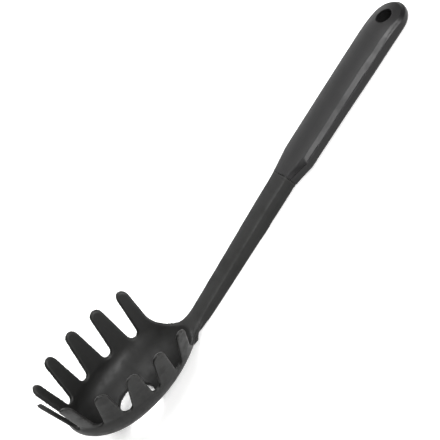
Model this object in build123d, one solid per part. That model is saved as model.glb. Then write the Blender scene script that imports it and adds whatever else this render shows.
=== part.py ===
from build123d import *
import os
from math import acos, atan2, cos, hypot, pi, radians, sin, sqrt

# Units are millimetres. +X runs from the nose of the bowl to the end of the grip, +Y across, +Z up.
# The server lies on a table with its bowl open upwards. Heights are above the table.
# Depths in the bowl are below its rim plane, which the tine tips touch and which tips up towards the nose.

# General
overrun = 4.0
seat_clearance = 0.15

# Rim plane of the bowl, whose middle is higher above the table than the bowl is deep
rim_pitch = 20.2

# Bowl, measured along and across the rim plane
bowl_depth = 45.0
bowl_lift = 2.5
bowl_wall = 2.6
tine_wall = 2.6
gap_depth = 24.0
rim_centre = 8.5
rim_front_reach = 57.6
rim_rear_reach = 72.0
rim_half_width = 37.6
root_centre = 6.5
root_front_reach = 46.5
root_rear_reach = 47.8
root_half_width = 28.7
bottom_centre = -8.0
lower_depth_shares = [0.0, 0.3, 0.54, 0.74, 0.88, 0.96, 1.0]
lower_width_shares = [1.0, 0.915, 0.785, 0.6, 0.4, 0.22, 0.07]
lower_front_shares = [1.0, 0.88, 0.72, 0.53, 0.35, 0.2, 0.07]
lower_shift_shares = [0.0, 0.3, 0.54, 0.74, 0.88, 0.96, 1.0]

# Tines, five a side and one at the nose, with the places of their tips and of the gaps between them
tine_tip_rise = 1.4
tine_tip_radius = 4.4
rear_tine_tip_radius = 3.7
gap_radius = 3.2
tine_places = [35.2, 16.6, -3.0, -23.2, -41.2]
gap_leans = [1.9, 0.8, -0.9, -0.7, 0.0]

# Drain hole
drain_radius = 11.75
drain_place = 1.6

# Neck, where the rim dips to the shank
neck_place = 39.5
neck_radius_share = 0.34
neck_web = 3.0
flare_half_width = 12.5
flare_radius = 19.5
flare_end = 50.0

# Shank
heel_place = 60.0
heel_top = 7.6
heel_bottom = 0.0
heel_half_width = 6.1
keel_place = 20.0
keel_bottom = 3.6
keel_length = 11.0
keel_height = 10.0
shank_place = 129.0
shank_top = 10.6
shank_bottom = 0.9
shank_half_width = 6.7
shank_edge = 0.5

# Grip
joint_place = 142.5
joint_half_width = 6.9
shoulder_place = 155.5
shoulder_half_width = 11.8
grip_place = 205.0
grip_top = 11.7
grip_bottom = 1.4
grip_half_width = 12.2
knee_place = 238.5
knee_top = 10.9
hang_place = 253.1
hang_top = 8.4
grip_end = 265.6
grip_end_top = 5.0
crown_radius = 50.0
bevel_width = 2.5
bevel_height = 3.4
parting_height = 7.4
belly_turn_shares = [0.0, 0.28, 0.55, 0.8, 1.0]
parting_end_height = 2.3
belly_radius = 3.8

# Hang hole
hang_radius = 5.0

# Tang of the shank inside the grip, and the posts that locate it
tang_half_width = 4.6
tang_bottom = 3.6
tang_height = 4.4
tang_end = 236.0
post_radius = 2.0
post_places = [165.0, 215.0]
post_entry = 1.1


# Height of the rim plane's middle
rim_height = bowl_depth + bowl_lift


def on_rim(x, z):
    """Turn a place on the rim plane's own axes into a place on the server's axes, in side view."""
    tilt = radians(rim_pitch)
    return (x * cos(tilt) + z * sin(tilt), rim_height - x * sin(tilt) + z * cos(tilt))


def bowl_pose():
    """Pose of the rim plane."""
    return Pos(0, 0, rim_height) * Rot(0, rim_pitch, 0)


def bowl_section(depth, centre, front, rear, half_width):
    """One level of the bowl, egg-shaped, from two half ellipses."""
    centre_point = (centre, 0)
    nose_half = EllipticalCenterArc(centre_point, front, half_width, start_angle=90, arc_size=180)
    rear_half = EllipticalCenterArc(centre_point, rear, half_width, start_angle=-90, arc_size=180)
    return Pos(0, 0, -depth) * make_face(nose_half + rear_half)


def flared_section(depth, inset):
    """A level of the tines, which flare out evenly from the gap roots to the rim."""
    down = depth / gap_depth
    centre = rim_centre + (root_centre - rim_centre) * down
    front = rim_front_reach + (root_front_reach - rim_front_reach) * down
    rear = rim_rear_reach + (root_rear_reach - rim_rear_reach) * down
    half_width = rim_half_width + (root_half_width - rim_half_width) * down
    return bowl_section(depth, centre, front - inset, rear - inset, half_width - inset)


def bowl_solid(tine_inset, wall_inset, top_overrun):
    """The bowl as a closed form, with its skin moved in by the given walls and run past the rim."""
    flare = [flared_section(-top_overrun, tine_inset), flared_section(gap_depth, tine_inset)]
    sections = []
    depth_below = bowl_depth - wall_inset - gap_depth
    front = root_front_reach - wall_inset
    rear = root_rear_reach - wall_inset
    half_width = root_half_width - wall_inset
    lower_shares = zip(lower_depth_shares, lower_width_shares, lower_front_shares, lower_shift_shares)
    for depth_share, width_share, front_share, shift_share in lower_shares:
        depth = gap_depth + depth_below * depth_share
        centre = root_centre + (bottom_centre - root_centre) * shift_share
        reaches = (front * front_share, rear * width_share, half_width * width_share)
        sections.append(bowl_section(depth, centre, *reaches))
    return loft(flare, ruled=True) + loft(sections)


def rim_half_width_at(x):
    """Half width of the rim, at the middle of its wall."""
    reach = (rim_rear_reach if x > rim_centre else rim_front_reach) - tine_wall / 2
    return (rim_half_width - tine_wall / 2) * sqrt(max(0, 1 - ((x - rim_centre) / reach) ** 2))


def tangent_normal(tip, tip_radius, root, root_radius):
    """Normal of the straight flank that leaves a round tip and enters a round root on its other side."""
    run = hypot(root[0] - tip[0], root[1] - tip[1])
    along = ((root[0] - tip[0]) / run, (root[1] - tip[1]) / run)
    share = (tip_radius + root_radius) / run
    rest = sqrt(1 - share**2)
    return (along[0] * share - along[1] * rest, along[1] * share + along[0] * rest)


def on_circle(centre, radius, angle):
    return (centre[0] + radius * cos(angle), centre[1] + radius * sin(angle))


def flank(tip, tip_radius, root, root_radius, top, side):
    """Half of a gap's outline: from above a tine, round its tip and down its flank to the root."""
    tip_here = (side * tip[0], tip[1])
    root_here = (side * root[0], root[1])
    normal = tangent_normal(tip_here, tip_radius, root_here, root_radius)
    turn = atan2(normal[1], normal[0])
    points = [
        (tip_here[0], top),
        (tip_here[0], tip_here[1] + tip_radius),
        on_circle(tip_here, tip_radius, (pi / 2 + turn) / 2),
        on_circle(tip_here, tip_radius, turn),
        on_circle(root_here, root_radius, turn + pi),
        on_circle(root_here, root_radius, (turn + pi + 3 * pi / 2) / 2),
        on_circle(root_here, root_radius, 3 * pi / 2),
    ]
    places = [(side * point[0], point[1]) for point in points]
    lines = Line(places[0], places[1])
    lines += ThreePointArc(places[1], places[2], places[3])
    lines += Line(places[3], places[4])
    lines += ThreePointArc(places[4], places[5], places[6])
    return lines


def gap_cutter(first, second, first_radius, second_radius, lean):
    """Cuts one gap between two tines, square to the wall, and rounds both tips."""
    run = hypot(second[0] - first[0], second[1] - first[1])
    middle = ((first[0] + second[0]) / 2, (first[1] + second[1]) / 2)
    along = ((second[0] - first[0]) / run, (second[1] - first[1]) / run)
    outward = (along[1], -along[0], 0)
    plane = Plane(origin=(*middle, 0), x_dir=(*along, 0), z_dir=outward)
    top = tine_tip_rise + 2 * overrun
    root = (-lean, gap_radius - gap_depth)
    outline = flank((-run / 2, tine_tip_rise - first_radius), first_radius, root, gap_radius, top, 1)
    outline += flank((run / 2, tine_tip_rise - second_radius), second_radius, root, gap_radius, top, -1)
    outline += Line((-run / 2, top), (run / 2, top))
    return extrude(plane * make_face(outline), amount=tine_tip_radius + 2 * overrun, both=True)


def tine_tips():
    """Places of the far side's tine tips and the nose's, from the handle towards the nose."""
    tips = [(place, rim_half_width_at(place)) for place in tine_places]
    nose = rim_centre - rim_front_reach + tine_wall / 2
    return tips + [(nose, 0)]


def gap_cutters():
    """All ten gaps, made on the far side and mirrored."""
    tips = tine_tips()
    radii = [rear_tine_tip_radius] + [tine_tip_radius] * (len(tips) - 1)
    cutters = []
    for index, lean in enumerate(gap_leans):
        cutter = gap_cutter(tips[index], tips[index + 1], radii[index], radii[index + 1], lean)
        cutters += [cutter, mirror(cutter, about=Plane.XZ)]
    return cutters


def across(outline, half_width):
    """A side view made solid across the server, to the same width each side."""
    return extrude(Pos(0, half_width, 0) * (Plane.XZ * make_face(outline)), amount=2 * half_width)


def root_top_at(place):
    """Height of the shank's top where it runs straight into the bowl."""
    return heel_top + (shank_top - heel_top) / (shank_place - heel_place) * (place - heel_place)


def neck_cutter():
    """Opens the rim behind the rear tines, from their rounded tips down to the top of the shank."""
    tilt = radians(rim_pitch)
    tip = on_rim(tine_places[0], tine_tip_rise - rear_tine_tip_radius)
    neck_radius = neck_radius_share * (tip[1] - root_top_at(neck_place))
    root = (neck_place, root_top_at(neck_place) + neck_radius)
    normal = tangent_normal(tip, rear_tine_tip_radius, root, neck_radius)
    turn = atan2(normal[1], normal[0])
    up = pi / 2 - tilt
    above = on_circle(tip, rear_tine_tip_radius + 2 * overrun, up)
    apex = on_circle(tip, rear_tine_tip_radius, up)
    tip_end = on_circle(tip, rear_tine_tip_radius, turn)
    root_start = on_circle(root, neck_radius, turn + pi)
    root_end = on_circle(root, neck_radius, 3 * pi / 2)
    outline = Line(above, apex)
    outline += ThreePointArc(apex, on_circle(tip, rear_tine_tip_radius, (up + turn) / 2), tip_end)
    outline += Line(tip_end, root_start)
    root_middle = on_circle(root, neck_radius, (turn + pi + 3 * pi / 2) / 2)
    outline += ThreePointArc(root_start, root_middle, root_end)
    outline += Polyline(root_end, (shank_place, shank_top), (shank_place, rim_height))
    outline += Polyline((shank_place, rim_height), (above[0], rim_height), above)
    return across(outline, rim_half_width + overrun)


def bowl_shell():
    """The bowl's wall with its tines, neck and drain hole."""
    outside = bowl_solid(0, 0, overrun)
    inside = bowl_solid(tine_wall, bowl_wall, 2 * overrun)
    drain_height = bowl_depth - gap_depth
    drain = Pos(drain_place, 0, -bowl_depth) * Cylinder(drain_radius, 2 * drain_height)
    lid_size = 2 * (rim_rear_reach + overrun)
    seat = (Align.CENTER, Align.CENTER, Align.MIN)
    lid = Pos(0, 0, tine_tip_rise) * Box(2 * lid_size, lid_size, 2 * overrun, align=seat)
    shell = outside - inside - lid - drain
    for cutter in gap_cutters():
        shell -= cutter
    return bowl_pose() * shell - neck_cutter()


def handle_top():
    """The handle's top line in side view, a swell over the grip that falls away past the knee."""
    straight = Line((keel_place, root_top_at(keel_place)), (heel_place, heel_top))
    places = [
        (heel_place, heel_top),
        (shank_place, shank_top),
        (grip_place, grip_top),
        (knee_place, knee_top),
        (hang_place, hang_top),
        (grip_end, grip_end_top),
    ]
    start = (shank_place - heel_place, shank_top - heel_top)
    end = (grip_end - hang_place, grip_end_top - hang_top)
    return straight + Spline(*places, tangents=[start, end])


def handle_bottom():
    """The handle's underside in side view: a heel under the neck, a hollow and a flat rest at the end."""
    level = (1, 0)
    fall = (heel_place - keel_place, heel_bottom - keel_bottom)
    keel = Spline((keel_place, keel_bottom), (heel_place, heel_bottom), tangents=[fall, level])
    hollow = [(heel_place, heel_bottom), (shank_place, shank_bottom), (grip_place, grip_bottom)]
    hollow += [(knee_place, 0)]
    return keel + Spline(*hollow, tangents=[level, level]) + Line((knee_place, 0), (grip_end, 0))


def crowned_roof():
    """A body with an even crown along the handle's top line, which reaches down below the table."""
    half_width = grip_half_width + overrun
    sag = crown_radius - sqrt(crown_radius**2 - half_width**2)
    depth = grip_top + 2 * overrun
    section = ThreePointArc((-half_width, -sag), (0, 0), (half_width, -sag))
    section += Polyline((half_width, -sag), (half_width, -depth), (-half_width, -depth))
    section += Line((-half_width, -depth), (-half_width, -sag))
    slope = (grip_end_top - hang_top) / (grip_end - hang_place)
    reach = depth + overrun
    beyond = Line((grip_end, grip_end_top), (grip_end + reach, grip_end_top + slope * reach))
    start = Plane(origin=(keel_place, 0, root_top_at(keel_place)), x_dir=(0, 1, 0), z_dir=(1, 0, 0))
    path = Plane.XZ * (handle_top() + beyond)
    return sweep(start * make_face(section), path=path, transition=Transition.RIGHT)


def handle_block():
    """The handle between its crowned top and its underside, wider than the grip."""
    high = grip_top + overrun
    sides = Line((keel_place, keel_bottom), (keel_place, high))
    sides += Polyline((keel_place, high), (grip_end, high), (grip_end, 0))
    return across(handle_bottom() + sides, grip_half_width + overrun) & crowned_roof()


def mirrored_plan(outline):
    """A closed plan face from its far half, which starts and ends on the middle line."""
    return make_face(outline + mirror(outline, about=Plane.XZ))


def upright(plan):
    """A plan face made a column through the whole handle."""
    return extrude(Pos(0, 0, -overrun) * plan, amount=grip_top + 2 * overrun)


def shank_plan():
    """The shank from above, widening a little from the bowl to the grip."""
    side = Line((keel_place, 0), (keel_place, heel_half_width))
    side += Line((keel_place, heel_half_width), (heel_place, heel_half_width))
    places = [(heel_place, heel_half_width), (shank_place, shank_half_width)]
    places += [(joint_place, joint_half_width)]
    widening = (joint_place - shank_place, joint_half_width - shank_half_width)
    side += Spline(*places, tangents=[(1, 0), widening])
    side += Line((joint_place, joint_half_width), (joint_place, 0))
    return mirrored_plan(side)


def flare_plan():
    """The web from above, which sweeps from the shank's sides out to the rim of the bowl."""
    centre = (flare_end, heel_half_width + flare_radius)
    start = -pi / 2 - acos(1 - (flare_half_width - heel_half_width) / flare_radius)
    rim_end = on_circle(centre, flare_radius, start)
    shank_end = on_circle(centre, flare_radius, -pi / 2)
    side = Polyline((keel_place, 0), (keel_place, heel_half_width), rim_end)
    side += ThreePointArc(rim_end, on_circle(centre, flare_radius, (start - pi / 2) / 2), shank_end)
    side += Line(shank_end, (flare_end, 0))
    return mirrored_plan(side)


def web_layer():
    """The top of the handle block, as deep as the web."""
    low = [(keel_place, root_top_at(keel_place) - neck_web), (shank_place, shank_top - neck_web)]
    high = grip_top + overrun
    outline = Polyline(*low, (shank_place, high), (keel_place, high), close=True)
    return across(outline, flare_half_width + overrun)


def shank():
    """The shank from under the bowl to the grip, with the web that flares into the rim."""
    web = handle_block() & web_layer() & upright(flare_plan())
    bar = (handle_block() & upright(shank_plan())) + web
    lengthwise = bar.edges().filter_by(lambda edge: edge.bounding_box().size.X > overrun)
    upper = lengthwise.filter_by(lambda edge: edge.center().Z > heel_top - neck_web / 2)
    return chamfer(upper, shank_edge)


def keel():
    """The root of the shank under the bowl, tall enough to reach the bowl's wall wherever that lies."""
    size = (keel_length, 2 * heel_half_width, keel_height)
    return Pos(keel_place, 0, keel_bottom) * Box(*size, align=(Align.MIN, Align.CENTER, Align.MIN))


def head_and_shank():
    """Bowl, shank and tang, one moulding."""
    inside = bowl_pose() * bowl_solid(tine_wall, bowl_wall, 2 * overrun)
    head = bowl_shell() + (shank() + keel() - inside) + tang(0, 0)
    for hole in posts(post_radius + seat_clearance, tang_height):
        head -= hole
    return head


def grip_plan(inset):
    """The grip from above, with a slanted shoulder at the front and a round end about the hang hole."""
    end_radius = grip_end - hang_place - inset
    shoulder = (shoulder_place + inset, shoulder_half_width - inset)
    side = Line((joint_place, 0), (joint_place, joint_half_width))
    side += Line((joint_place, joint_half_width), shoulder)
    places = [shoulder, (grip_place, grip_half_width - inset), (hang_place, end_radius)]
    slope = (grip_place - shoulder_place, 2 * (grip_half_width - shoulder_half_width))
    side += Spline(*places, tangents=[slope, (1, 0)])
    side += RadiusArc((hang_place, end_radius), (hang_place + end_radius, 0), end_radius)
    return mirrored_plan(side)


def grip_block():
    """The outside of the grip: a rounded belly, upright sides, and a bevel that leans in to the top."""
    levels = []
    for belly_turn_share in belly_turn_shares:
        turn = belly_turn_share * pi / 2
        plan = grip_plan(belly_radius * (1 - sin(turn)))
        levels.append(Pos(0, 0, belly_radius * (1 - cos(turn))) * plan)
    column = extrude(Pos(0, 0, belly_radius) * grip_plan(0), amount=parting_height - belly_radius)
    rise = bevel_height + bevel_width
    narrow_plan = grip_plan(bevel_width * rise / bevel_height)
    bevel = [Pos(0, 0, parting_height) * grip_plan(0), Pos(0, 0, parting_height + rise) * narrow_plan]
    return handle_block() & (loft(levels) + column + loft(bevel, ruled=True))


def parting_band():
    """Everything over the line where the shells part, level under the bevel and dipping at the end."""
    level = Line((joint_place - overrun, parting_height), (knee_place, parting_height))
    fall = (grip_end - hang_place, grip_end_top - hang_top)
    end = (grip_end + overrun, parting_end_height)
    dip = Spline((knee_place, parting_height), end, tangents=[(1, 0), fall])
    high = grip_top + overrun
    over = Polyline(end, (grip_end + overrun, high), (joint_place - overrun, high))
    over += Line((joint_place - overrun, high), (joint_place - overrun, parting_height))
    return across(level + dip + over, grip_half_width + overrun)


def tang(clearance, end_clearance):
    """The bar of the shank that runs inside the grip."""
    length = tang_end + end_clearance - joint_place
    height = tang_height + clearance
    seat = (Align.MIN, Align.CENTER, Align.MIN)
    bar = Box(length, 2 * (tang_half_width + clearance), height, align=seat)
    return Pos(joint_place, 0, tang_bottom) * bar


def posts(radius, height):
    """The two locating posts, or their holes."""
    post = Cylinder(radius, height, align=(Align.CENTER, Align.CENTER, Align.MIN))
    return [Pos(place, 0, tang_bottom) * post for place in post_places]


def grip_shells():
    """The grip in two shells that meet under the bevel and close on the tang."""
    hollow = tang(seat_clearance, 2 * seat_clearance)
    hang_hole = Pos(hang_place, 0, 0) * Cylinder(hang_radius, 2 * grip_top)
    block = grip_block() - hang_hole
    upper = (block & parting_band()) - hollow
    lower = block - parting_band() - hollow
    for socket in posts(post_radius + seat_clearance, tang_height + post_entry + seat_clearance):
        upper -= socket
    for post in posts(post_radius, tang_height + post_entry):
        lower += post
    return upper, lower


def main():
    """Builds every piece, sets the server's middle over the origin and writes the parts."""
    upper, lower = grip_shells()
    pieces = {"head_and_shank": head_and_shank(), "grip_upper_shell": upper, "grip_lower_shell": lower}
    box = Compound(children=[Compound(children=piece.solids()) for piece in pieces.values()]).bounding_box()
    to_origin = Pos(-box.center().X, 0, -box.min.Z)
    os.makedirs("parts", exist_ok=True)
    for name, piece in pieces.items():
        export_step(to_origin * piece, f"parts/{name}.step")


if __name__ == "__main__":
    main()
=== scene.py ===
"""A pasta server in charcoal nylon, dressed and lit for a plain white studio.

Every length is in metres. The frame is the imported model's own: +X runs from the nose of the bowl to the
end of the grip, +Y across to the far side and +Z up out of the bowl. The server lies on the table at z = 0.
"""

from __future__ import annotations

import logging
import math
from dataclasses import dataclass
from enum import Enum
from typing import Any

import bmesh
import bpy
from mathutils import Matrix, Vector


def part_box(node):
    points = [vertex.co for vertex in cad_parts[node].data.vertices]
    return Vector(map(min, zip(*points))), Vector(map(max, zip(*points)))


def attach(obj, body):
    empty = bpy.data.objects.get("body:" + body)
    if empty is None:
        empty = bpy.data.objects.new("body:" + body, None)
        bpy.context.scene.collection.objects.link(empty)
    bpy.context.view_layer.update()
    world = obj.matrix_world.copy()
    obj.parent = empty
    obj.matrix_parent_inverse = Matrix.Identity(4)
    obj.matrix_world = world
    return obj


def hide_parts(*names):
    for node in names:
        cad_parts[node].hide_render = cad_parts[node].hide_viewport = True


log = logging.getLogger("pasta_server")

Colour = tuple[float, float, float]
Place = tuple[float, float, float]
Number = float | int


class Body(Enum):
    """The rigid bodies that pieces ride on."""

    WHOLE = "root"


class Slot(Enum):
    """The record's material slots."""

    NYLON = "nylon"
    GRIP = "grip"


class Mark(Enum):
    """The names of the values that a moulded surface carries at its vertices."""

    # Stands out on convex edges: paler there as wear and as a painted edge highlight.
    WEAR_AND_HIGHLIGHT = "wear_and_highlight"
    # Sits back in corners, creases and the hang hole: darkened there as painted shade.
    CREVICE = "crevice"


class Value:
    """A shader socket that reads like a number in Python expressions."""

    def __init__(self, bench: NodeBench, socket: bpy.types.NodeSocket) -> None:
        """Wraps a socket.

        Args:
            bench: The bench that adds nodes to the socket's material.
            socket: The output to read.
        """
        self.bench = bench
        self.socket = socket

    def _with(self, operation: str, other: Value | Number) -> Value:
        """Adds one Math node on this value and another.

        Args:
            operation: Blender's name of the operation.
            other: The second operand.

        Returns:
            The node's result.
        """
        return self.bench.value("ShaderNodeMath", {"operation": operation}, {0: self, 1: other})

    def __add__(self, other: Value | Number) -> Value:
        """Adds."""
        return self._with("ADD", other)

    __radd__ = __add__

    def __mul__(self, other: Value | Number) -> Value:
        """Multiplies."""
        return self._with("MULTIPLY", other)

    __rmul__ = __mul__

    def __sub__(self, other: Value | Number) -> Value:
        """Takes another value away."""
        return self._with("SUBTRACT", other)

    def between(self, low: float, high: float) -> Value:
        """Rises smoothly from 0 at low to 1 at high.

        Args:
            low: The value that gives 0.
            high: The value that gives 1.

        Returns:
            The eased mask.
        """
        settings = {"interpolation_type": "SMOOTHSTEP"}
        sockets = {"Value": self, "From Min": low, "From Max": high}
        return self.bench.value("ShaderNodeMapRange", settings, sockets)


@dataclass(frozen=True)
class Pattern:
    """A noise on a surface: its scale, its octaves, how strong the finer ones are and its stretch."""

    per_metre: float
    detail: float = 3.0
    roughness: float = 0.6
    stretch: Place = (1.0, 1.0, 1.0)


class NodeBench:
    """Adds nodes to one material."""

    def __init__(self, name: str) -> None:
        """Starts a material.

        Args:
            name: The material's name.
        """
        self.material = bpy.data.materials.new(name)
        self.material.use_nodes = True
        self.tree = self.material.node_tree
        self.tree.nodes.clear()

    def node(self, kind: str, settings: dict[str, Any], sockets: dict[str | int, Any]) -> bpy.types.Node:
        """Adds one node, sets it and feeds it.

        Args:
            kind: The node's type.
            settings: The node's own settings, which are set first.
            sockets: Values, sockets or Value objects by input name or number.

        Returns:
            The node.
        """
        node = self.tree.nodes.new(kind)
        for key, setting in settings.items():
            setattr(node, key, setting)
        for key, given in sockets.items():
            source = given.socket if isinstance(given, Value) else given
            if isinstance(source, bpy.types.NodeSocket):
                self.tree.links.new(source, node.inputs[key])
            else:
                node.inputs[key].default_value = source
        return node

    def value(
        self,
        kind: str,
        settings: dict[str, Any],
        sockets: dict[str | int, Any],
        output: str | int = 0,
    ) -> Value:
        """Adds one node and wraps an output of it.

        Args:
            kind: The node's type.
            settings: As for node.
            sockets: As for node.
            output: The output's name or number.

        Returns:
            The wrapped output.
        """
        return Value(self, self.node(kind, settings, sockets).outputs[output])

    def place(self, stretch: Place = (1.0, 1.0, 1.0)) -> Value:
        """Gives the piece's own coordinates, stretched.

        Args:
            stretch: The factor along each axis.

        Returns:
            The coordinates, in metres where the factor is 1.
        """
        coordinates = self.value("ShaderNodeTexCoord", {}, {}, "Object")
        return self.value("ShaderNodeMapping", {}, {"Vector": coordinates, "Scale": stretch})

    def noise(self, pattern: Pattern) -> Value:
        """Adds a noise around one half.

        Args:
            pattern: How it is laid.

        Returns:
            The noise, from 0 to 1.
        """
        sockets = {
            "Vector": self.place(pattern.stretch),
            "Scale": pattern.per_metre,
            "Detail": pattern.detail,
            "Roughness": pattern.roughness,
        }
        return self.value("ShaderNodeTexNoise", {}, sockets, "Fac")

    def mark(self, mark: Mark) -> Value:
        """Reads a value that the surface carries.

        Args:
            mark: Which one.

        Returns:
            The value at the shaded point.
        """
        return self.value("ShaderNodeAttribute", {"attribute_name": mark.value}, {}, "Fac")

    def mix(self, mask: Value, first: Colour | Value, second: Colour | Value) -> Value:
        """Mixes two colours.

        Args:
            mask: 0 gives the first colour and 1 the second.
            first: A colour.
            second: Another colour.

        Returns:
            The mixed colour.
        """
        settings = {"data_type": "RGBA", "clamp_factor": True}
        pair = [given if isinstance(given, Value) else (*given, 1.0) for given in (first, second)]
        return self.value("ShaderNodeMix", settings, {0: mask, 6: pair[0], 7: pair[1]}, 2)

    def bump(self, height: Value, reach: float, strength: float, under: Value | None = None) -> Value:
        """Turns a height into a normal.

        Args:
            height: The height, from 0 to 1.
            reach: The height that 1 stands for, in metres.
            strength: How much of it shows.
            under: A normal to build on.

        Returns:
            The normal.
        """
        sockets = {"Height": height, "Distance": reach, "Strength": strength}
        if under is not None:
            sockets["Normal"] = under
        return self.value("ShaderNodeBump", {}, sockets, "Normal")

    def surface(self, sockets: dict[str | int, Any]) -> bpy.types.Material:
        """Ends the material in one Principled shader.

        Args:
            sockets: The shader's values and links.

        Returns:
            The material.
        """
        shader = self.node("ShaderNodeBsdfPrincipled", {}, sockets)
        self.node("ShaderNodeOutputMaterial", {}, {"Surface": shader.outputs[0]})
        return self.material


@dataclass(frozen=True)
class SatinNylon:
    """Charcoal nylon from a spark-eroded mould: satin, faintly mottled, a little paler on its edges as wear
    and as a painted edge highlight, and darker in its crevices as painted shade.

    An amount says how much the roughness changes over a pattern.
    """

    name: str
    colour: Colour
    # The colour of the edges: wear and a painted edge highlight.
    worn_and_highlit: Colour
    roughness: float
    smear_amount: float
    streak_amount: float
    mottle_amount: float = 0.12
    grain_amount: float = 0.05
    gloss: float = 0.34
    smear: Pattern = Pattern(95.0, stretch=(1.0, 0.55, 1.0))
    smear_range: tuple[float, float] = (0.42, 0.66)
    streak: Pattern = Pattern(420.0, stretch=(0.12, 1.0, 1.0))
    mottle: Pattern = Pattern(38.0, roughness=0.5)
    mottle_height: float = 0.0004
    mottle_strength: float = 0.10
    grain: Pattern = Pattern(2300.0, detail=2.0)
    grain_height: float = 0.00005
    grain_strength: float = 0.16
    scuff: Pattern = Pattern(420.0, roughness=0.7)
    scuff_range: tuple[float, float] = (0.48, 0.72)
    scuff_share: float = 0.45
    edge_polish: float = 0.05
    # How much of the colour stays in crevices, which are darkened as painted shade.
    painted_shade_share: float = 0.1
    crevice_roughness: float = 0.5

    def build(self) -> bpy.types.Material:
        """Makes the material.

        Returns:
            The material, with its colour, roughness and normal varied over the surface.
        """
        bench = NodeBench(self.name)
        grain = bench.noise(self.grain)
        mottle = bench.noise(self.mottle)
        streak = bench.noise(self.streak)
        smear = bench.noise(self.smear).between(*self.smear_range)
        scuff = bench.noise(self.scuff).between(*self.scuff_range)
        wear_and_highlight = bench.mark(Mark.WEAR_AND_HIGHLIGHT)
        crevice = bench.mark(Mark.CREVICE)
        uneven = self.mottle_amount * (mottle - 0.5) + self.streak_amount * (streak - 0.5)
        # Edges paler as wear and as a painted edge highlight, in scuffed patches, plus random tone.
        paler = wear_and_highlight * (1.0 - self.scuff_share + self.scuff_share * scuff) + uneven
        colour = bench.mix(paler, self.colour, self.worn_and_highlit)
        # The painted shade colour for corners, creases and the hang hole's wall.
        painted_shade_colour = tuple(self.painted_shade_share * part for part in self.colour)
        smeared = self.smear_amount * (smear - 0.5) + self.grain_amount * grain
        worn = self.crevice_roughness * crevice - self.edge_polish * wear_and_highlight
        swell = bench.bump(mottle, self.mottle_height, self.mottle_strength)
        sockets = {
            # Painted shade in crevices darkens the colour.
            "Base Color": bench.mix(crevice, colour, painted_shade_colour),
            "Roughness": self.roughness + uneven + smeared + worn,
            "Normal": bench.bump(grain, self.grain_height, self.grain_strength, swell),
        }
        return bench.surface(sockets | {"Specular IOR Level": self.gloss})


@dataclass(frozen=True)
class PaleTable:
    """The plain white table top."""

    name: str = "pale_table"
    colour: Colour = (0.94, 0.94, 0.935)
    roughness: float = 0.9
    gloss: float = 0.1
    glow: Colour = (0.2, 0.2, 0.2)
    far_glow: Colour = (0.8, 0.8, 0.8)
    glow_reach: tuple[float, float] = (0.7, 2.0)

    def build(self) -> bpy.types.Material:
        """Makes the material.

        Returns:
            A matt white, lit from within as a light table is, so that shadows stay faint. It
            glows more far from the server, where the lamps fade out.
        """
        bench = NodeBench(self.name)
        away = bench.value("ShaderNodeVectorMath", {"operation": "LENGTH"}, {0: bench.place()}, "Value")
        sockets = {
            "Base Color": (*self.colour, 1.0),
            "Roughness": self.roughness,
            "Specular IOR Level": self.gloss,
            "Emission Color": bench.mix(away.between(*self.glow_reach), self.glow, self.far_glow),
            "Emission Strength": 1.0,
        }
        return bench.surface(sockets)


@dataclass(frozen=True)
class HangHole:
    """The hole near the end of the grip, whose wall is darkened with painted shade."""

    place: float
    radius: float
    lip: float = 0.0001
    fade: float = 0.0004

    def painted_shade(self, point: Vector) -> float:
        """Gives the painted shade: 1 on the wall of the hole and 0 a hair outside it.

        Args:
            point: A point of the grip.

        Returns:
            The painted shade there.
        """
        away = math.hypot(point.x - self.place, point.y) - self.radius
        return min(1.0, max(0.0, 1.0 - (away - self.lip) / self.fade))


@dataclass(frozen=True)
class GripEnd:
    """The round end of the grip, where the top is full and the bevel runs on round the tip.

    The bevel's foot drops with the seam of the two shells, so that the bevel keeps its width.
    """

    tip: float
    radius: float = 0.0125
    reach: float = 0.0380
    fullness: float = 0.0015
    full_above: tuple[float, float] = (0.0020, 0.0045)
    foot: float = 0.0074
    foot_drop: float = 0.0028
    bevel_width: float = 0.0025
    bevel_height: float = 0.0034

    def shaped(self, point: Vector) -> Vector:
        """Fills out the top of the end, and cuts the bevel's slope on it.

        Args:
            point: A point of either shell.

        Returns:
            The point on the shaped end, or the same point before the end starts.
        """
        past = point.x - self.tip + self.reach
        if past <= 0.0:
            return point
        low, high = self.full_above
        rise = self.fullness * self._ease(past / (self.reach - self.radius))
        full = point + Vector((0.0, 0.0, rise * self._ease((point.z - low) / (high - low))))
        out = Vector((max(0.0, full.x - self.tip + self.radius), full.y, 0.0))
        foot = self.foot - self.foot_drop * self._ease((past / self.reach) ** 2)
        lean = math.atan2(self.bevel_width, self.bevel_height)
        proud = (full.z - foot) * math.sin(lean) - (self.radius - out.length) * math.cos(lean)
        slope = out.normalized() * math.cos(lean) + Vector((0.0, 0.0, math.sin(lean)))
        return full - slope * max(0.0, proud)

    @staticmethod
    def _ease(share: float) -> float:
        """Goes softly from 0 to 1 as the share does, and stays there."""
        held = min(1.0, max(0.0, share))
        return held * held * (3.0 - 2.0 * held)


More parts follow.
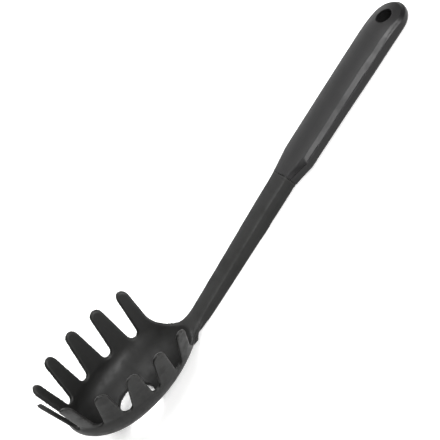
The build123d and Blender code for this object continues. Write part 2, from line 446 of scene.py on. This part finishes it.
@dataclass
class Moulding:
    """One moulded piece: the CAD node with its edges rounded as a mould rounds them.

    The corner at the joint between shank and grip stays crisp, so that the pieces meet in a hairline.
    Reaches from the joint are in cells of the skin.
    """

    node: str
    slot: Slot
    material: bpy.types.Material
    cell: float
    rounding_passes: int
    joint: float
    hole: HangHole | None = None
    end: GripEnd | None = None
    weld: float = 1e-6
    smoothing: float = 0.5
    joint_reach: float = 3.0
    corner_reach: float = 2.0
    snap_reach: float = 0.7
    corner: float = math.radians(35)
    mark_passes: int = 3
    full_mark: float = 0.35

    def build(self) -> None:
        """Makes the piece, puts it in the node's place and dresses it."""
        closed = self._closed_copy()
        rounded = self._rounded(closed)
        self._mark_edges(rounded.data)
        rounded.data.materials.clear()
        rounded.data.materials.append(self.material)
        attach(rounded, Body.WHOLE.value)
        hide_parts(self.node)
        log.info("%s: %d faces", rounded.name, len(rounded.data.polygons))

    def _closed_copy(self) -> bpy.types.Object:
        """Copies the node's mesh and joins its loose triangles.

        Returns:
            An object that holds the closed copy.
        """
        mesh = cad_node(self.node).data.copy()
        shape = bmesh.new()
        shape.from_mesh(mesh)
        bmesh.ops.remove_doubles(shape, verts=shape.verts, dist=self.weld)
        shape.to_mesh(mesh)
        shape.free()
        closed = bpy.data.objects.new(f"{self.node}_closed", mesh)
        bpy.context.scene.collection.objects.link(closed)
        return closed

    def _rounded(self, closed: bpy.types.Object) -> bpy.types.Object:
        """Lays an even skin over the closed copy and eases its edges.

        Args:
            closed: The closed copy, which is removed.

        Returns:
            The eased object, with no modifier left on it.
        """
        skin = closed.modifiers.new("skin", "REMESH")
        skin.mode = "VOXEL"
        skin.voxel_size = self.cell
        skin.use_smooth_shade = True
        graph = bpy.context.evaluated_depsgraph_get()
        mesh = bpy.data.meshes.new_from_object(closed.evaluated_get(graph))
        closed.modifiers.clear()
        shape = bmesh.new()
        shape.from_mesh(mesh)
        for _ in range(self.rounding_passes):
            bmesh.ops.smooth_vert(
                shape,
                verts=shape.verts,
                factor=self.smoothing,
                use_axis_x=True,
                use_axis_y=True,
                use_axis_z=True,
            )
        for face in shape.faces:
            face.smooth = True
        shape.to_mesh(mesh)
        shape.free()
        mesh.name = f"{self.node}_moulded"
        rounded = bpy.data.objects.new(f"{self.node}_moulded", mesh)
        bpy.context.scene.collection.objects.link(rounded)
        self._fit_ends(rounded, closed)
        bpy.data.objects.remove(closed, do_unlink=True)
        return rounded

    def _fit_ends(self, rounded: bpy.types.Object, closed: bpy.types.Object) -> None:
        """Draws the skin by the joint back onto the moulding's own faces, and shapes the grip's end.

        Args:
            rounded: The eased object.
            closed: The closed copy.
        """
        skin = rounded.data.vertices
        near = [vertex.index for vertex in skin if self._by_joint(vertex.co, self.joint_reach)]
        rounded.vertex_groups.new(name="joint").add(near, 1.0, "REPLACE")
        wrap = rounded.modifiers.new("joint", "SHRINKWRAP")
        wrap.target = closed
        wrap.vertex_group = "joint"
        wrap.wrap_method = "NEAREST_SURFACEPOINT"
        graph = bpy.context.evaluated_depsgraph_get()
        mesh = bpy.data.meshes.new_from_object(rounded.evaluated_get(graph))
        rounded.modifiers.clear()
        rounded.vertex_groups.clear()
        shape = bmesh.new()
        shape.from_mesh(mesh)
        for vertex in shape.verts:
            if self._by_joint(vertex.co, self.snap_reach):
                vertex.co.x = self.joint
            if self.end is not None:
                vertex.co = self.end.shaped(vertex.co)
        shape.normal_update()
        for edge in shape.edges:
            by_joint = self._by_joint(edge.verts[0].co, self.corner_reach)
            if by_joint and edge.calc_face_angle(0.0) > self.corner:
                edge.smooth = False
        shape.to_mesh(mesh)
        shape.free()
        rounded.data = mesh
        mesh.name = rounded.name

    def _by_joint(self, point: Vector, cells: float) -> bool:
        """Tells whether a point is within so many cells of the joint's plane."""
        return abs(point.x - self.joint) < cells * self.cell

    def _mark_edges(self, mesh: bpy.types.Mesh) -> None:
        """Writes how far each vertex stands out, for wear and a painted edge highlight, or sits back, for
        painted shade.

        Args:
            mesh: The finished mesh.
        """
        shape = bmesh.new()
        shape.from_mesh(mesh)
        shape.verts.ensure_lookup_table()
        bulge = [self._bulge(vertex) for vertex in shape.verts]
        for _ in range(self.mark_passes):
            bulge = [self._eased(vertex, bulge) for vertex in shape.verts]
        # Convex edges get wear and a painted edge highlight.
        wear_and_highlights = [min(1.0, max(0.0, part / self.full_mark)) for part in bulge]
        # Corners and creases get painted shade.
        painted_shades = [min(1.0, max(0.0, -part / self.full_mark)) for part in bulge]
        if self.hole is not None:
            # The hang hole's wall gets painted shade as well.
            painted_shades = [max(painted_shade, self.hole.painted_shade(vertex.co)) for painted_shade, vertex in zip(painted_shades, shape.verts)]
        shape.free()
        wear_and_highlight = mesh.attributes.new(Mark.WEAR_AND_HIGHLIGHT.value, "FLOAT", "POINT")
        crevice = mesh.attributes.new(Mark.CREVICE.value, "FLOAT", "POINT")
        wear_and_highlight.data.foreach_set("value", wear_and_highlights)
        crevice.data.foreach_set("value", painted_shades)

    @staticmethod
    def _bulge(vertex: bmesh.types.BMVert) -> float:
        """Measures how sharply the surface turns at a vertex.

        Args:
            vertex: The vertex.

        Returns:
            Over 0 on an outer edge and under 0 in a corner.
        """
        spokes = [edge.other_vert(vertex).co - vertex.co for edge in vertex.link_edges]
        return -sum(spoke.normalized().dot(vertex.normal) for spoke in spokes) / max(1, len(spokes))

    @staticmethod
    def _eased(vertex: bmesh.types.BMVert, values: list[float]) -> float:
        """Averages a value over a vertex and its neighbours."""
        near = [values[edge.other_vert(vertex).index] for edge in vertex.link_edges]
        return (values[vertex.index] + sum(near)) / (1 + len(near))


@dataclass
class Head:
    """The tined bowl with its neck and shank, one moulding in one nylon."""

    node: str = "head_and_shank"
    cell: float = 0.00058
    rounding_passes: int = 4
    finish: SatinNylon = SatinNylon(
        name="head_nylon",
        colour=(0.0074, 0.0073, 0.0069),
        # Edge colour: wear and a painted edge highlight.
        worn_and_highlit=(0.062, 0.062, 0.060),
        roughness=0.49,
        smear_amount=0.14,
        streak_amount=0.13,
    )

    def build(self) -> None:
        """Makes the head."""
        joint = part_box("grip_upper_shell")[0][0]
        material = self.finish.build()
        Moulding(self.node, Slot.NYLON, material, self.cell, self.rounding_passes, joint).build()


@dataclass
class Grip:
    """The two shells of the grip, which meet in a fine line under the bevel."""

    shells: tuple[str, str] = ("grip_upper_shell", "grip_lower_shell")
    cell: float = 0.00034
    rounding_passes: int = 2
    hole_inset: float = 0.0125
    hole_radius: float = 0.005
    finish: SatinNylon = SatinNylon(
        name="grip_nylon",
        # Edge colour: wear and a painted edge highlight.
        colour=(0.0094, 0.0090, 0.0093),
        worn_and_highlit=(0.027, 0.026, 0.028),
        roughness=0.40,
        smear_amount=0.05,
        streak_amount=0.06,
    )

    def build(self) -> None:
        """Makes both shells in one finish."""
        material = self.finish.build()
        lowest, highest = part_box(self.shells[0])
        joint, tip = lowest[0], highest[0]
        hole = HangHole(tip - self.hole_inset, self.hole_radius)
        end = GripEnd(tip)
        for shell in self.shells:
            Moulding(shell, Slot.GRIP, material, self.cell, self.rounding_passes, joint, hole, end).build()


@dataclass(frozen=True)
class Softbox:
    """One soft lamp of the studio."""

    name: str
    stands: Place
    faces: Place
    width: float
    depth: float
    watts: float

    def build(self) -> None:
        """Hangs the lamp and turns it to what it faces."""
        lamp = bpy.data.lights.new(self.name, "AREA")
        lamp.shape = "RECTANGLE"
        lamp.size = self.width
        lamp.size_y = self.depth
        lamp.energy = self.watts
        holder = bpy.data.objects.new(self.name, lamp)
        holder.location = self.stands
        gaze = Vector(self.faces) - Vector(self.stands)
        holder.rotation_euler = gaze.to_track_quat("-Z", "Y").to_euler()
        bpy.context.scene.collection.objects.link(holder)
        log.info("lamp %s", self.name)


@dataclass
class Studio:
    """A white table, soft light and the camera at the photograph's angle."""

    table_size: float = 40.0
    table_height: float = -0.0001
    air: float = 0.04
    exposure: float = 0.3
    gamma: float = 0.85
    lens: float = 233.6229
    sensor_width: float = 36.0
    view_depth: float = 60.0
    camera_place: Place = (-0.073442, -1.301738, 1.040133)
    camera_turn: Place = (36.25194, 40.53031, -44.38719)
    lamps: tuple[Softbox, ...] = (
        Softbox("overhead", (0.4, 0.15, 1.55), (0.0, 0.0, 0.0), 1.5, 1.5, 21.0),
        Softbox("overhead_back", (0.2, 0.6, 1.5), (0.0, 0.0, 0.0), 1.2, 0.8, 5.4),
        Softbox("front_high", (0.0, -1.3, 1.2), (0.0, 0.0, 0.02), 1.2, 0.8, 7.0),
        Softbox("back_high", (0.0, 1.3, 1.0), (0.0, 0.0, 0.0), 1.6, 0.7, 3.6),
        Softbox("back_low", (0.2, 1.6, 0.35), (0.0, 0.0, 0.02), 1.6, 0.4, 7.0),
        Softbox("bevel_card", (0.23, -1.17, 0.79), (0.09, 0.0, 0.01), 0.5, 0.35, 10.0),
        Softbox("tip_card", (0.72, -1.1, 0.75), (0.14, 0.0, 0.01), 0.5, 0.35, 7.5),
    )

    def build(self) -> None:
        """Makes the whole studio."""
        self._table()
        self._air()
        for lamp in self.lamps:
            lamp.build()
        self._camera()

    def _table(self) -> None:
        """Lays the table top."""
        mesh = bpy.data.meshes.new("table_top")
        shape = bmesh.new()
        bmesh.ops.create_grid(shape, x_segments=1, y_segments=1, size=self.table_size / 2)
        bmesh.ops.translate(shape, verts=shape.verts, vec=(0.0, 0.0, self.table_height))
        shape.to_mesh(mesh)
        shape.free()
        mesh.materials.append(PaleTable().build())
        table = bpy.data.objects.new("table_top", mesh)
        bpy.context.scene.collection.objects.link(table)
        log.info("table top")

    def _air(self) -> None:
        """Fills the room with even white light."""
        world = bpy.data.worlds.new("white_room")
        world.use_nodes = True
        background = world.node_tree.nodes["Background"]
        background.inputs["Color"].default_value = (1.0, 1.0, 1.0, 1.0)
        background.inputs["Strength"].default_value = self.air
        bpy.context.scene.world = world
        settings = bpy.context.scene.view_settings
        settings.view_transform = "Standard"
        settings.exposure = self.exposure
        settings.gamma = self.gamma

    def _camera(self) -> None:
        """Sets the camera where the photograph was taken from."""
        lens = bpy.data.cameras.new("photo_camera")
        lens.sensor_width = self.sensor_width
        lens.lens = self.lens
        lens.clip_end = self.view_depth
        camera = bpy.data.objects.new("photo_camera", lens)
        camera.location = self.camera_place
        camera.rotation_euler = tuple(math.radians(turn) for turn in self.camera_turn)
        bpy.context.scene.collection.objects.link(camera)
        bpy.context.scene.camera = camera
        log.info("camera")


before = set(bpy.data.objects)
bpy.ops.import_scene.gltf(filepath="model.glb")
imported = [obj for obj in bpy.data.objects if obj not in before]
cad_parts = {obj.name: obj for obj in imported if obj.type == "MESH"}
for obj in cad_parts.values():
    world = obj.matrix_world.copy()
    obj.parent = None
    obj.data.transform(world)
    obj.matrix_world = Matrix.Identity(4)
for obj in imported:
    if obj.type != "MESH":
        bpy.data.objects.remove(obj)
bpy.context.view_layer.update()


def cad_node(name: str) -> bpy.types.Object:
    """Gives a node's object from the loaded frame.

    Args:
        name: The node's name.

    Returns:
        Its object.
    """
    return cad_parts[name]


def main() -> None:
    """Builds the server, piece by piece, and the studio round it."""
    logging.basicConfig(level=logging.INFO, format="%(name)s: %(message)s")
    Head().build()
    Grip().build()
    Studio().build()


if __name__ == "__main__":
    main()
